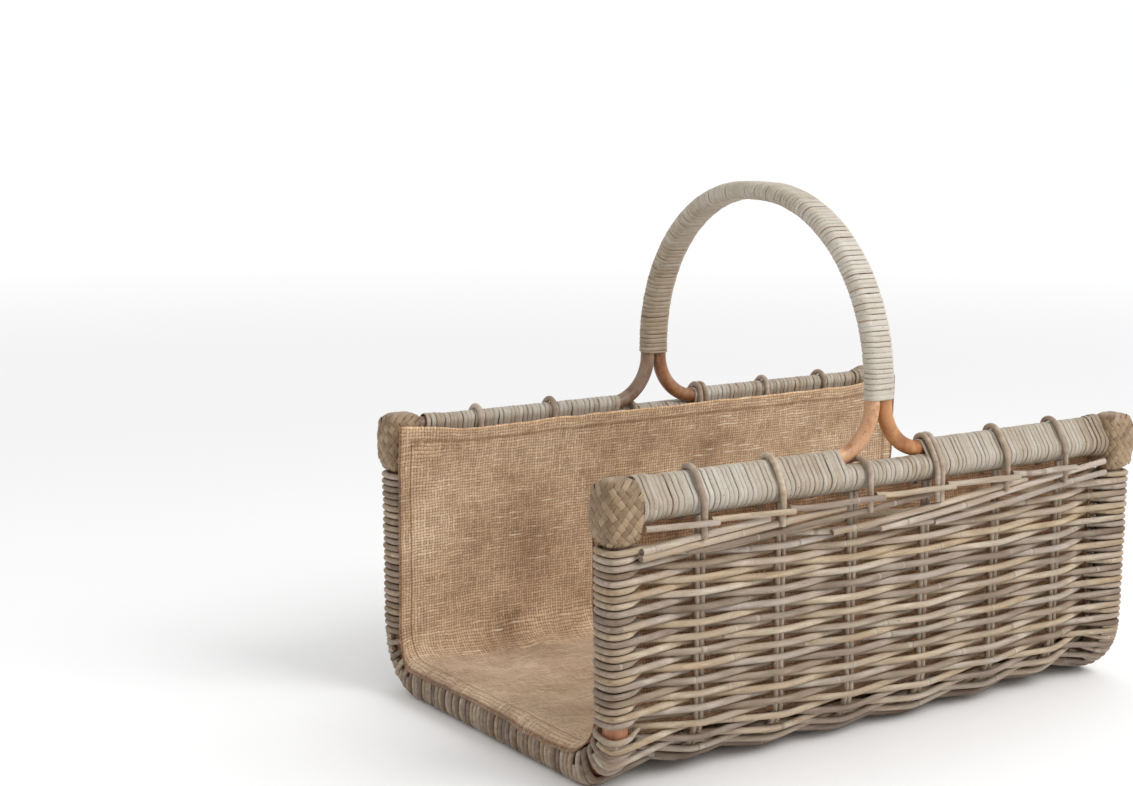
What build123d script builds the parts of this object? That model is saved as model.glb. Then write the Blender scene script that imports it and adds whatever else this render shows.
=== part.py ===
from build123d import *
import math
import os

# Open-ended wicker log basket, in millimetres. X runs along the basket, from one open
# end to the other, -Y is the front wall, +Y the back wall, and +Z is up. The origin is
# on the ground under the middle of the basket.

# ---------------------------------------------------------------- driving dimensions
HOOP_SPAN = 528.0         # between the axes of the two end hoops, along X
WALL_SPAN = 326.0         # between the middles of the front and back walls, along Y
RIM_Z = 218.0             # axis of the rim poles above the ground
BEND_RADIUS = 40.0        # bend of hoops, stakes and weave from wall to floor
HOOP_RADIUS = 9.5         # end hoops and rim poles are the same thick rattan
RIM_RADIUS = 9.5
HANDLE_RADIUS = 6.3       # each of the two poles of the handle
STAKE_RADIUS = 2.35
WEFT_RADIUS = 2.5
PEEL = 1.3                # thickness of the flat peel that binds rim and handle
CLEARANCE = 0.25          # between woven rods that pass each other

WEFT_COUNT = 114          # rows round the whole U, from front rim to back rim
WEAVE_TOP = 192.0         # top of the weave on both walls
STAKE_XS = (-188.0, -110.0, -37.0, 42.0, 123.0, 199.0)
STAKE_GAP = 0.3           # between the two rods of one stake pair

LOOP_XS = (-185.0, -110.0, -27.0, 48.0, 129.0, 201.0)
LOOP_RADIUS = 2.4
DOUBLED_LOOP_X = 48.0     # the loop beside the right leg of the handle is double
RUNNER_DROP = 16.5        # runner rods lie this far under the rim's axis
FILLER_RODS = ((44.0, 32.0, -196.0, 180.0), (52.0, 42.0, -196.0, 120.0))

HANDLE_X = -7.0           # middle of the handle along the basket
HANDLE_TOP = 433.0        # axis of the handle poles at the top of the arch
LEG_BEND = 42.0           # bend of each leg, from the rim up into the arch
ARCH_BEND = 148.0
BINDING_BOTTOM = 277.0    # the two legs part below this height
HANDLE_INSET = 7.0        # handle poles lie this far inside the rim poles' axes
HANDLE_RISE = 14.25       # and this far above them
POLE_GAP = 0.2

BRAID_HALF = 17.0         # half length of each corner braid, along X
BRAID_ROUND = 7.0
LINER_THICK = 1.8
LINER_BOTTOM_INSET = 15.4
LINER_TOP_INSET = 21.0
LINER_TOP = 227.0
LINER_HALF_LENGTH = 274.0
WORN_DEPTH = 0.3          # flat worn on the underside of the wraps that it stands on

NAIL_RADIUS = 1.1
NAIL_HEAD_RADIUS = 1.9
NAIL_INSET = 3.5
NAIL_TOP = RIM_Z + HANDLE_RISE + 2.3

# ---------------------------------------------------------------- derived dimensions
HOOP_X = HOOP_SPAN / 2
WALL_Y = WALL_SPAN / 2
WRAP_RADIUS = HOOP_RADIUS + WEFT_RADIUS + 0.3
FLOOR_Z = WRAP_RADIUS + WEFT_RADIUS - WORN_DEPTH
WEAVE_HALF = STAKE_RADIUS + WEFT_RADIUS + CLEARANCE
STAKE_OFFSET = STAKE_RADIUS + STAKE_GAP / 2
HANDLE_Y = WALL_Y - HANDLE_INSET
HANDLE_Z = RIM_Z + HANDLE_RISE
POLE_OFFSET = HANDLE_RADIUS + POLE_GAP / 2
BIND_RADIUS = RIM_RADIUS + PEEL
LEG_FOOT = POLE_OFFSET + LEG_BEND

os.makedirs("parts", exist_ok=True)


def save(name, *solids):
    """Writes one named piece, or a group of identical ones, as a STEP file."""
    shape = solids[0] if len(solids) == 1 else Compound(children=list(solids))
    export_step(shape, f"parts/{name}.step")


def rod(points, bends, radius):
    """A round rod along straight runs that are joined by tangent arcs."""
    path = FilletPolyline(*points, radius=bends)
    section = Plane(origin=path @ 0, z_dir=path % 0) * Circle(radius)
    return sweep(section, path=path)


def straight_rod(start, end, radius):
    """A straight round rod between two points."""
    run = Vector(*end) - Vector(*start)
    return Plane(origin=start, z_dir=run) * Cylinder(
        radius, run.length, align=(Align.CENTER, Align.CENTER, Align.MIN)
    )


def both_walls(front):
    """The front piece and its mirror image on the back wall."""
    return front, mirror(front, about=Plane.XZ)


# ---------------------------------------------------------------- nails
def nail(x, y, length):
    """A round nail with a flat head, driven down from the top of a handle pole."""
    shank = straight_rod((x, y, NAIL_TOP), (x, y, NAIL_TOP - length), NAIL_RADIUS)
    head = straight_rod((x, y, NAIL_TOP), (x, y, NAIL_TOP - 1.0), NAIL_HEAD_RADIUS)
    return shank + head


nail_y = WALL_Y - NAIL_INSET
corner_nails = [nail(x, y, 52.0) for x in (-HOOP_X, HOOP_X) for y in (-nail_y, nail_y)]
handle_nails = [nail(x, y, 23.0) for x in (-150.0, -85.0, 80.0, 150.0) for y in (-nail_y, nail_y)]
save("corner_nails", *corner_nails)
save("handle_nails", *handle_nails)


# ---------------------------------------------------------------- poles
def rim_pole(side):
    """Straight thick pole along the top of one wall, from hoop to hoop."""
    reach = HOOP_X + HOOP_RADIUS
    pole = straight_rod((-reach, side * WALL_Y, RIM_Z), (reach, side * WALL_Y, RIM_Z), RIM_RADIUS)
    return chamfer(pole.edges().filter_by(GeomType.CIRCLE), 1.0)


def end_hoop(x):
    """Thick pole bent to a U across one open end, its tops notched under the rim poles."""
    points = [
        (x, -WALL_Y, RIM_Z - 3),
        (x, -WALL_Y, FLOOR_Z),
        (x, WALL_Y, FLOOR_Z),
        (x, WALL_Y, RIM_Z - 3),
    ]
    return rod(points, BEND_RADIUS, HOOP_RADIUS)


def handle_pole(side):
    """Thin pole: along the front rim, up the leg, over the arch and down to the back rim."""
    x = HANDLE_X + side * POLE_OFFSET
    end = side * (HOOP_X + 4)
    points = [
        (end, -HANDLE_Y, HANDLE_Z),
        (x, -HANDLE_Y, HANDLE_Z),
        (x, -HANDLE_Y, HANDLE_TOP),
        (x, HANDLE_Y, HANDLE_TOP),
        (x, HANDLE_Y, HANDLE_Z),
        (end, HANDLE_Y, HANDLE_Z),
    ]
    return rod(points, [LEG_BEND, ARCH_BEND, ARCH_BEND, LEG_BEND], HANDLE_RADIUS)


def without(piece, *cutters):
    """The piece less other pieces that pass through it."""
    for cutter in cutters:
        piece = piece - cutter
    return piece


front_rim, back_rim = rim_pole(-1), rim_pole(1)
left_hoop = without(end_hoop(-HOOP_X), front_rim, back_rim, *corner_nails)
right_hoop = without(end_hoop(HOOP_X), front_rim, back_rim, *corner_nails)
left_handle = without(handle_pole(-1), *corner_nails, *handle_nails)
right_handle = without(handle_pole(1), *corner_nails, *handle_nails)
front_rim = without(front_rim, *corner_nails, *handle_nails)
back_rim = without(back_rim, *corner_nails, *handle_nails)
save("end_hoop_left", left_hoop)
save("end_hoop_right", right_hoop)
save("rim_pole_front", front_rim)
save("rim_pole_back", back_rim)
save("handle_pole_left", left_handle)
save("handle_pole_right", right_handle)


# ---------------------------------------------------------------- handle binding
def arch_sleeve(radius):
    """Long rounded bar that holds both handle poles from leg to leg over the arch."""
    path = FilletPolyline(
        (HANDLE_X, -HANDLE_Y, BINDING_BOTTOM),
        (HANDLE_X, -HANDLE_Y, HANDLE_TOP),
        (HANDLE_X, HANDLE_Y, HANDLE_TOP),
        (HANDLE_X, HANDLE_Y, BINDING_BOTTOM),
        radius=ARCH_BEND,
    )
    section = Plane(origin=path @ 0, x_dir=(1, 0, 0), z_dir=path % 0) * SlotCenterToCenter(
        2 * POLE_OFFSET, 2 * radius
    )
    return sweep(section, path=path)


save("handle_binding", arch_sleeve(HANDLE_RADIUS + PEEL) - arch_sleeve(HANDLE_RADIUS))


# ---------------------------------------------------------------- rim bindings
def rim_bar(start, end, growth, doubled):
    """Bar round the front rim pole, and round the handle pole on top of it if doubled."""
    circle = Circle(RIM_RADIUS + growth)
    if doubled:
        upper = Pos(HANDLE_INSET, HANDLE_RISE) * Circle(HANDLE_RADIUS + growth)
        circle = make_hull([*circle.edges(), *upper.edges()])
    plane = Plane(origin=(start, -WALL_Y, RIM_Z), x_dir=(0, 1, 0), z_dir=(1, 0, 0))
    return extrude(plane * circle, end - start)


def rim_binding(start, end, doubled):
    """Peel wound tightly round the rim between two places along it."""
    outside = rim_bar(start, end, PEEL, doubled)
    return outside - rim_bar(start, end, 0, doubled)


BRAID_END = HOOP_X - BRAID_HALF
LEG_MARGIN = 5.0          # the doubled bindings run this far on under the legs
binding_spans = (
    ("left", -BRAID_END, HANDLE_X - LEG_FOOT + LEG_MARGIN, True),
    ("middle", HANDLE_X - LEG_FOOT + 12.0, HANDLE_X + LEG_FOOT - 12.0, False),
    ("right", HANDLE_X + LEG_FOOT - LEG_MARGIN, BRAID_END, True),
)
for place, start, end, doubled in binding_spans:
    front, back = both_walls(rim_binding(start, end, doubled))
    save(f"rim_binding_front_{place}", without(front, left_handle, right_handle))
    save(f"rim_binding_back_{place}", without(back, left_handle, right_handle))


# ---------------------------------------------------------------- corner braids
def corner_braid(side):
    """Plaited peel block that closes a front corner, over hoop, rim pole and handle pole."""
    low, high = WEAVE_TOP + 0.5, HANDLE_Z + HANDLE_RADIUS + 3.5
    block = Pos(side * HOOP_X, -WALL_Y, (low + high) / 2) * Box(2 * BRAID_HALF, 33.0, high - low)
    block = fillet(block.edges(), BRAID_ROUND)
    start, end = sorted((side * (HOOP_X - BRAID_HALF - 1), side * (HOOP_X + HOOP_RADIUS)))
    hoop_top = straight_rod(
        (side * HOOP_X, -WALL_Y, low - 1), (side * HOOP_X, -WALL_Y, RIM_Z), HOOP_RADIUS
    )
    return block - (rim_bar(start, end, 0, True) + hoop_top)


for end_name, end_side in (("left", -1), ("right", 1)):
    front, back = both_walls(corner_braid(end_side))
    save(f"corner_braid_front_{end_name}", front)
    save(f"corner_braid_back_{end_name}", back)


# ---------------------------------------------------------------- stakes
def stake(x):
    """One rod of a stake pair: down the front wall, under the floor, up the back wall."""
    top = RIM_Z - BIND_RADIUS - 0.5
    points = [(x, -WALL_Y, top), (x, -WALL_Y, FLOOR_Z), (x, WALL_Y, FLOOR_Z), (x, WALL_Y, top)]
    return rod(points, BEND_RADIUS, STAKE_RADIUS)


for number, x in enumerate(STAKE_XS, start=1):
    save(f"stake_pair_{number}", stake(x - STAKE_OFFSET), stake(x + STAKE_OFFSET))


# ---------------------------------------------------------------- wefts
FLAT_HALF = STAKE_OFFSET + STAKE_RADIUS + 0.7   # level stretch of a weft over a stake pair


def weft(side):
    """One weft in its own flat plane, +Y outward. It weaves over and under the stakes,
    starts outside the left hoop where side is 1, and hooks round both hoops."""
    reach = HOOP_X + WRAP_RADIUS
    entry = HOOP_X - 4.0
    points, bends = [], []
    for end, level in ((-1, side), (1, -side)):
        tail = -WRAP_RADIUS if level < 0 else -2.2
        hook = [(end * reach, -level * abs(tail)), (end * reach, level * WRAP_RADIUS)]
        hook_bends = [WRAP_RADIUS - 0.1]
        if level < 0:
            hook.insert(0, (end * (HOOP_X - 6.0), WRAP_RADIUS))
            hook_bends = [WRAP_RADIUS - 0.1, WRAP_RADIUS - 0.1]
        hook.append((end * entry, level * WRAP_RADIUS))
        hook_bends.append(8.0)
        if end < 0:
            points += hook
            bends += hook_bends
            for number, x in enumerate(STAKE_XS):
                level_here = side * (-1) ** number * WEAVE_HALF
                points += [(x - FLAT_HALF, level_here), (x + FLAT_HALF, level_here)]
                bends += [12.0, 12.0]
        else:
            points += hook[::-1]
            bends += hook_bends[::-1]
    return rod(points, bends, WEFT_RADIUS)


def row_plane(distance):
    """Plane of the weft row at a distance along the U, from the front weave top, and
    the name of the stretch of basket that it belongs to."""
    straight = WEAVE_TOP - FLOOR_Z - BEND_RADIUS
    bend = BEND_RADIUS * math.pi / 2
    floor = WALL_SPAN - 2 * BEND_RADIUS
    half = straight + bend + floor / 2
    front = distance < half
    along = distance if front else 2 * half - distance
    bend_y, bend_z = WALL_Y - BEND_RADIUS, FLOOR_Z + BEND_RADIUS
    if along < straight:
        y, z, turn, name = WALL_Y, WEAVE_TOP - along, 0.0, "wall"
    elif along < straight + bend:
        turn = (along - straight) / BEND_RADIUS
        y, z = bend_y + BEND_RADIUS * math.cos(turn), bend_z - BEND_RADIUS * math.sin(turn)
        name = "bend"
    else:
        y, z, turn, name = half - along, FLOOR_Z, math.pi / 2, "floor"
    side = -1 if front else 1
    outward = Vector(0, side * math.cos(turn), -math.sin(turn))
    plane = Plane(origin=(0, side * y, z), x_dir=(1, 0, 0), z_dir=Vector(1, 0, 0).cross(outward))
    return plane, f"{name}_wefts_{'front' if front else 'back'}"


weave_length = 2 * (WEAVE_TOP - FLOOR_Z - BEND_RADIUS) + math.pi * BEND_RADIUS
weave_length += WALL_SPAN - 2 * BEND_RADIUS
row_pitch = weave_length / WEFT_COUNT

plain = {side: weft(side) for side in (1, -1)}
wear = Pos(0, FLOOR_Z + 5.0, 0) * Box(2 * HOOP_SPAN, 10.0, 20.0)
worn = {side: plain[side] - wear for side in (1, -1)}
groups = {}
for row in range(WEFT_COUNT):
    plane, group = row_plane((row + 0.5) * row_pitch)
    kind = worn if group.startswith("floor") else plain
    groups.setdefault(group, []).append(plane * kind[1 if row % 2 == 0 else -1])
for group, rods in groups.items():
    save(group, *rods)


# ---------------------------------------------------------------- top border
def rim_loop(x):
    """Rod that comes up inside the front wall, over the rim and down outside it."""
    y, z = -WALL_Y, RIM_Z
    clear = BIND_RADIUS + LOOP_RADIUS + 0.1
    doubled = abs(x - HANDLE_X) > LEG_FOOT - LEG_MARGIN
    if doubled:
        inside = HANDLE_INSET + HANDLE_RADIUS + PEEL + LOOP_RADIUS + 0.1
        top = HANDLE_RISE + HANDLE_RADIUS + PEEL + LOOP_RADIUS + 0.1
        outline = [(-clear, -27.5), (-clear, 4.0), (-5.0, top), (inside, top), (inside, -22.0)]
        bends = [10.0, 8.0, 9.9]
    else:
        outline = [(-clear, -27.5), (-clear, clear), (clear, clear), (clear, -22.0)]
        bends = [clear - 0.1, clear - 0.1]
    return rod([(x, y + out, z + up) for out, up in outline], bends, LOOP_RADIUS)


def runner(start, end):
    """Rod under the front rim, from beside one loop to just past the front of the next."""
    y, z = -WALL_Y, RIM_Z - RUNNER_DROP
    near = BIND_RADIUS + 3 * LOOP_RADIUS + 0.3
    points = [(start, y - 11.5, z), (end - 14.0, y - near, z), (end + 11.0, y - near, z)]
    return rod(points, 20.0, LOOP_RADIUS)


loops = [rim_loop(x) for x in LOOP_XS]
loops.append(rim_loop(DOUBLED_LOOP_X + 2 * LOOP_RADIUS + 0.4))
runner_starts = (-BRAID_END + 1.0, *(x + 8.0 for x in LOOP_XS[:-1]))
runners = [runner(start, end) for start, end in zip(runner_starts, LOOP_XS)]
runners[3] = runner(runner_starts[3], DOUBLED_LOOP_X + 2 * LOOP_RADIUS)
runners[4] = runner(runner_starts[4] + 2 * LOOP_RADIUS + 6.0, LOOP_XS[4])
fillers = [
    straight_rod(
        (start, -WALL_Y - WEAVE_HALF - 2 * WEFT_RADIUS - 0.3, RIM_Z - low),
        (end, -WALL_Y - WEAVE_HALF - 2 * WEFT_RADIUS - 0.3, RIM_Z - high),
        WEFT_RADIUS,
    )
    for low, high, start, end in FILLER_RODS
]
for name, rods in (("rim_loops", loops), ("border_runners", runners), ("filler_rods", fillers)):
    pairs = [both_walls(piece) for piece in rods]
    save(f"{name}_front", *(front for front, back in pairs))
    save(f"{name}_back", *(back for front, back in pairs))


# ---------------------------------------------------------------- hessian liner
def liner_face(growth):
    """Filled cross-section of the lined trough, grown outward by growth."""
    top_y = WALL_Y - LINER_TOP_INSET + growth
    low_y = WALL_Y - LINER_BOTTOM_INSET + growth
    low_z = FLOOR_Z + LINER_BOTTOM_INSET - growth
    outline = FilletPolyline(
        (-top_y, LINER_TOP),
        (-low_y, low_z),
        (low_y, low_z),
        (top_y, LINER_TOP),
        radius=BEND_RADIUS - LINER_BOTTOM_INSET + growth,
    )
    closing = Line((top_y, LINER_TOP), (-top_y, LINER_TOP))
    return make_face([*outline.edges(), *closing.edges()])


section = liner_face(0) - liner_face(-LINER_THICK)
liner_plane = Plane(origin=(-LINER_HALF_LENGTH, 0, 0), x_dir=(0, 1, 0), z_dir=(1, 0, 0))
liner = extrude(liner_plane * section, 2 * LINER_HALF_LENGTH)
save("hessian_liner", liner)

STITCH_XS = (-266.0, -150.0, 150.0, 266.0)
stitch_y = WALL_Y - LINER_TOP_INSET - LINER_THICK - 1.4
stitches = [
    straight_rod((x - 5, side * stitch_y, LINER_TOP - 9), (x + 5, side * stitch_y, LINER_TOP - 5), 0.8)
    for x in STITCH_XS
    for side in (-1, 1)
]
save("liner_stitches", *stitches)
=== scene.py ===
import math
import random

import bmesh
import bpy
from mathutils import Matrix, Vector, noise


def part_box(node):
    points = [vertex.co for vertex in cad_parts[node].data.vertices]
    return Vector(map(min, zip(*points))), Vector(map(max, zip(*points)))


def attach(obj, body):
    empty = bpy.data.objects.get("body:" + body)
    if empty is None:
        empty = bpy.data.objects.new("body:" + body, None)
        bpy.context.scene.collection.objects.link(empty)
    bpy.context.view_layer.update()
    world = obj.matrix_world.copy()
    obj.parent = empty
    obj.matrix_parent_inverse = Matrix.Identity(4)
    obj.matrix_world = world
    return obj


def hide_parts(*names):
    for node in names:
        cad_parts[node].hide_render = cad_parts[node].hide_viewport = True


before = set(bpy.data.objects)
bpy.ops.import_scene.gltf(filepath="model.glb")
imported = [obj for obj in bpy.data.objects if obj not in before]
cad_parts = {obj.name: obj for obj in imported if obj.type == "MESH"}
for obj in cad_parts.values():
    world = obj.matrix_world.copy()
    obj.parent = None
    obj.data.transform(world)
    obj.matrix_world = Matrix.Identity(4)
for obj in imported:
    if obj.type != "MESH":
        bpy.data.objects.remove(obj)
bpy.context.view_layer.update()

random.seed(7)

# ------------------------------------------------------------ end hoops, rim poles, nails
# The frame of the basket: two thick rattan poles bent to a U at the open ends, and a straight
# one along the top of each wall, nailed together at the corners. The bare bark is smooth and
# orange-brown. It shows between the wraps, and there it is painted dark grey-brown as painted
# shade: all over the right hoop, and on the left one above about 60 mm. The nails are plain steel.
MM = 0.001


def surface(name, roughness, specular):
    """A new material and its shader, with the plain values on the shader's own sockets."""
    material = bpy.data.materials.new(name)
    material.use_nodes = True
    shader = material.node_tree.nodes["Principled BSDF"]
    shader.inputs["Roughness"].default_value = roughness
    shader.inputs["Specular IOR Level"].default_value = specular
    return material, shader


def node(material, kind, links, **settings):
    """A node with its settings made, and its inputs joined to sockets or set to values."""
    made = material.node_tree.nodes.new(kind)
    for key, value in settings.items():
        setattr(made, key, value)
    for key, value in links.items():
        if isinstance(value, bpy.types.NodeSocket):
            material.node_tree.links.new(value, made.inputs[key])
        else:
            made.inputs[key].default_value = value
    return made


def link(material, source, target):
    """Joins an output socket to an input socket."""
    material.node_tree.links.new(source, target)


def object_place(material):
    """Where on the object each point lies, in metres."""
    return node(material, "ShaderNodeTexCoord", {}).outputs["Object"]


def maths(material, operation, *values):
    """The result of a Math node on sockets or plain numbers."""
    return node(material, "ShaderNodeMath", dict(enumerate(values)), operation=operation).outputs[0]


def vector_maths(material, operation, *values):
    """The result of a Vector Math node on sockets or plain vectors."""
    links = dict(enumerate(values))
    return node(material, "ShaderNodeVectorMath", links, operation=operation).outputs["Vector"]


def apart(material, vector):
    """The X, Y and Z of a vector."""
    return node(material, "ShaderNodeSeparateXYZ", {"Vector": vector}).outputs


def ramp(material, factor, stops):
    """Colours along a factor from 0 to 1, as (place, (red, green, blue))."""
    made = node(material, "ShaderNodeValToRGB", {"Fac": factor})
    made.color_ramp.elements.remove(made.color_ramp.elements[1])
    for number, (place, colour) in enumerate(stops):
        if number == 0:
            stop = made.color_ramp.elements[0]
            stop.position = place
        else:
            stop = made.color_ramp.elements.new(place)
        stop.color = (*colour, 1.0)
    return made.outputs["Color"]


def levels(material, factor, low, high):
    """The factor stretched so that low becomes 0 and high becomes 1, and clamped."""
    ends = {"Value": factor, "From Min": low, "From Max": high}
    return node(material, "ShaderNodeMapRange", ends, clamp=True).outputs["Result"]


def mixed(material, factor, first, second, blend="MIX"):
    """One colour laid over another by a factor."""
    made = node(material, "ShaderNodeMix", {0: factor, 6: first, 7: second}, data_type="RGBA")
    made.blend_type = blend
    return made.outputs[2]


def tinted(material, factor, colour, tint):
    """The colour multiplied by a tint, by a factor."""
    return mixed(material, factor, colour, (*tint, 1.0), "MULTIPLY")


def grain(material, vector, stretch, shift, detail=4.0):
    """Noise drawn out along the fibre, and moved by a shift that differs from rod to rod."""
    moved = node(material, "ShaderNodeMapping", {"Vector": vector, "Scale": stretch})
    offset = vector_maths(material, "MULTIPLY", shift, (37.0, 61.0, 23.0))
    placed = vector_maths(material, "ADD", moved.outputs["Vector"], offset)
    links = {"Vector": placed, "Scale": 1.0, "Detail": detail, "Roughness": 0.6}
    return node(material, "ShaderNodeTexNoise", links).outputs["Fac"]


def raised(material, shader, height, strength, distance):
    """Bump from a height factor."""
    links = {"Height": height, "Strength": strength, "Distance": distance}
    made = node(material, "ShaderNodeBump", links)
    link(material, made.outputs["Normal"], shader.inputs["Normal"])


def bare_rattan(name, stretch, dark, light, faded=None):
    """Smooth bark of a bare rattan pole, with long fibres, darker bands and small specks.

    faded gives an axis, the two places along it between which the bark turns grey, and how much.
    On the left hoop this grey is painted shade; on the handle poles it is the bark's own grey.
    """
    material, shader = surface(name, 0.42, 0.45)
    place = object_place(material)
    fibre = grain(material, place, stretch, (0.0, 0.0, 0.0))
    patch = grain(material, place, (34.0, 34.0, 21.0), (0.3, 0.0, 0.1), 3.0)
    speck = grain(material, place, (900.0, 900.0, 500.0), (0.0, 0.2, 0.0), 1.0)
    colour = ramp(material, levels(material, patch, 0.3, 0.7), [(0.0, dark), (1.0, light)])
    if faded:
        axis, start, full, share = faded
        # the dark grey: painted shade on the left hoop, the bark's own grey on the handle poles
        grey = levels(material, apart(material, place)[axis], start, full)
        grey = maths(material, "MULTIPLY", grey, share)
        colour = mixed(material, grey, colour, (0.17, 0.13, 0.10, 1.0))
    colour = tinted(material, levels(material, fibre, 0.42, 0.66), colour, (0.62, 0.50, 0.42))
    colour = tinted(material, levels(material, speck, 0.66, 0.74), colour, (0.45, 0.30, 0.2))
    link(material, colour, shader.inputs["Base Color"])
    raised(material, shader, fibre, 0.25, 0.4 * MM)
    return material


def finish_cad(material, *names):
    """Gives CAD nodes, which keep their shapes, their material."""
    for name in names:
        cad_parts[name].data.materials.clear()
        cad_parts[name].data.materials.append(material)


# left hoop: orange-brown low down, and above about 60 mm dark grey, painted shade where the bark shows
# between the wraps
hoop_bark = bare_rattan("hoop_bark", (500.0, 60.0, 60.0), (0.32, 0.13, 0.06), (0.52, 0.24, 0.125),
                        ("Z", 60 * MM, 95 * MM, 0.85))
# right hoop: its dark grey-brown bark is painted shade between the wraps
shaded_hoop_bark = bare_rattan("hoop_bark_painted_shade", (500.0, 60.0, 60.0), (0.16, 0.12, 0.09), (0.33, 0.26, 0.20))
pole_bark = bare_rattan("rim_pole_bark", (40.0, 500.0, 500.0), (0.30, 0.15, 0.07), (0.48, 0.27, 0.13))
finish_cad(hoop_bark, "end_hoop_left")
finish_cad(shaded_hoop_bark, "end_hoop_right")
finish_cad(pole_bark, "rim_pole_front", "rim_pole_back")
nail_steel, shader = surface("nail_steel", 0.45, 0.5)
shader.inputs["Metallic"].default_value = 1.0
place = object_place(nail_steel)
tarnish = grain(nail_steel, place, (800.0, 800.0, 800.0), (0.0, 0.0, 0.0))
link(nail_steel, ramp(nail_steel, tarnish, [(0.3, (0.2, 0.19, 0.18)), (0.7, (0.5, 0.49, 0.47))]),
     shader.inputs["Base Color"])
finish_cad(nail_steel, "corner_nails", "handle_nails")


# ------------------------------------------------------------ stakes
# Six pairs of thinner rattan rods, each bent to a U from the front rim to the back rim, under a
# floor that sags a little. The weave hides them but for the gaps of its rows.
hoop_low, hoop_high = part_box("end_hoop_right")
POLE = (hoop_high[0] - hoop_low[0]) / 2
HOOP_X = (hoop_high[0] + hoop_low[0]) / 2
WALL_Y = hoop_high[1] - POLE
FLOOR_Z = hoop_low[2] + POLE
WEAVE_TOP = 192 * MM
BEND = 40 * MM                   # bend of the hoops and of the weave from wall to floor
BELLY = 4.0 * MM                 # how far the woven bends swell out at mid-length
SAG = 6.0 * MM                   # how far rows and floor hang down there
LOWEST_X = 40 * MM               # where along the basket they hang lowest
STAKE = 2.35 * MM                # radius of a stake
STAKE_HALF_GAP = 0.15 * MM       # half of the gap between the two stakes of a pair


def rods(name, routes, radii, turns=7, sides=3):
    """One object of many smooth round rods, each with its own tone for the material."""
    curve = bpy.data.curves.new(name, "CURVE")
    curve.dimensions = "3D"
    curve.bevel_depth = MM
    curve.bevel_resolution = sides
    curve.resolution_u = turns
    curve.use_fill_caps = True
    for points, radius in zip(routes, radii):
        spline = curve.splines.new("NURBS")
        spline.points.add(len(points) - 1)
        for number, (target, place) in enumerate(zip(spline.points, points)):
            target.co = (*place, 1.0)
            target.radius = radius[number] / MM if isinstance(radius, list) else radius / MM
        spline.use_endpoint_u = True
        spline.order_u = 3
    line = bpy.data.objects.new(name + "_line", curve)
    mesh = bpy.data.meshes.new_from_object(line)
    mesh.name = name
    bpy.data.objects.remove(line)
    bpy.data.curves.remove(curve)
    return joined(name, mesh)


def in_scene(name, data):
    """A new object in the scene, at the origin."""
    made = bpy.data.objects.new(name, data)
    bpy.context.scene.collection.objects.link(made)
    return made


def joined(name, mesh):
    """The mesh as an object, smooth, with a random tone on each of its loose pieces."""
    shape = bmesh.new()
    shape.from_mesh(mesh)
    tone = shape.verts.layers.float.new("tone")
    seen = set()
    for first in shape.verts:
        if first.index in seen:
            continue
        value = random.random()
        stack = [first]
        seen.add(first.index)
        while stack:
            vert = stack.pop()
            vert[tone] = value
            for edge in vert.link_edges:
                other = edge.other_vert(vert)
                if other.index not in seen:
                    seen.add(other.index)
                    stack.append(other)
    for face in shape.faces:
        face.smooth = len(face.verts) == 4
    bmesh.ops.recalc_face_normals(shape, faces=shape.faces)
    shape.to_mesh(mesh)
    shape.free()
    return in_scene(name, mesh)


def finished(piece, material, slot, *replaced):
    """Gives a piece its material and body, and hides the CAD nodes that it stands for; slot is not
    used.
    """
    piece.data.materials.clear()
    piece.data.materials.append(material)
    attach(piece, "root")
    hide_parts(*replaced)


def row_frame(distance):
    """Place, outward direction and group of a row, by its distance round the U, and how it hangs."""
    straight = WEAVE_TOP - FLOOR_Z - BEND
    bend = BEND * math.pi / 2
    half = straight + bend + WALL_Y - BEND
    side = -1 if distance < half else 1
    along = min(distance, 2 * half - distance)
    if along < straight:
        turn, y, z = 0.0, WALL_Y, WEAVE_TOP - along
    elif along < straight + bend:
        turn = (along - straight) / BEND
        y = WALL_Y - BEND + BEND * math.cos(turn)
        z = FLOOR_Z + BEND - BEND * math.sin(turn)
    else:
        turn, y, z = math.pi / 2, half - along, FLOOR_Z
    outward = Vector((0, side * math.cos(turn), -math.sin(turn)))
    swell = BELLY * math.exp(-((along - straight - bend * 0.6) / (bend * 0.6)) ** 2)
    across_floor = max(0.0, (along - straight - bend) / (half - straight - bend))
    sink = SAG * (1 if turn < math.pi / 2 else 0.85 - 0.5 * across_floor)
    hang = outward * swell - Vector((0, 0, sink))
    group = "wall" if turn == 0 else "bend" if turn < math.pi / 2 else "floor"
    return Vector((0, side * y, z)), outward, hang, f"{group}_wefts_{'front' if side < 0 else 'back'}"


def hangs(x):
    """Share of the sag at a place along the basket: none at the hoops."""
    reach = HOOP_X - 10 * MM + (LOWEST_X if x < LOWEST_X else -LOWEST_X)
    return max(0.0, 1 - ((x - LOWEST_X) / reach) ** 2)


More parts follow.
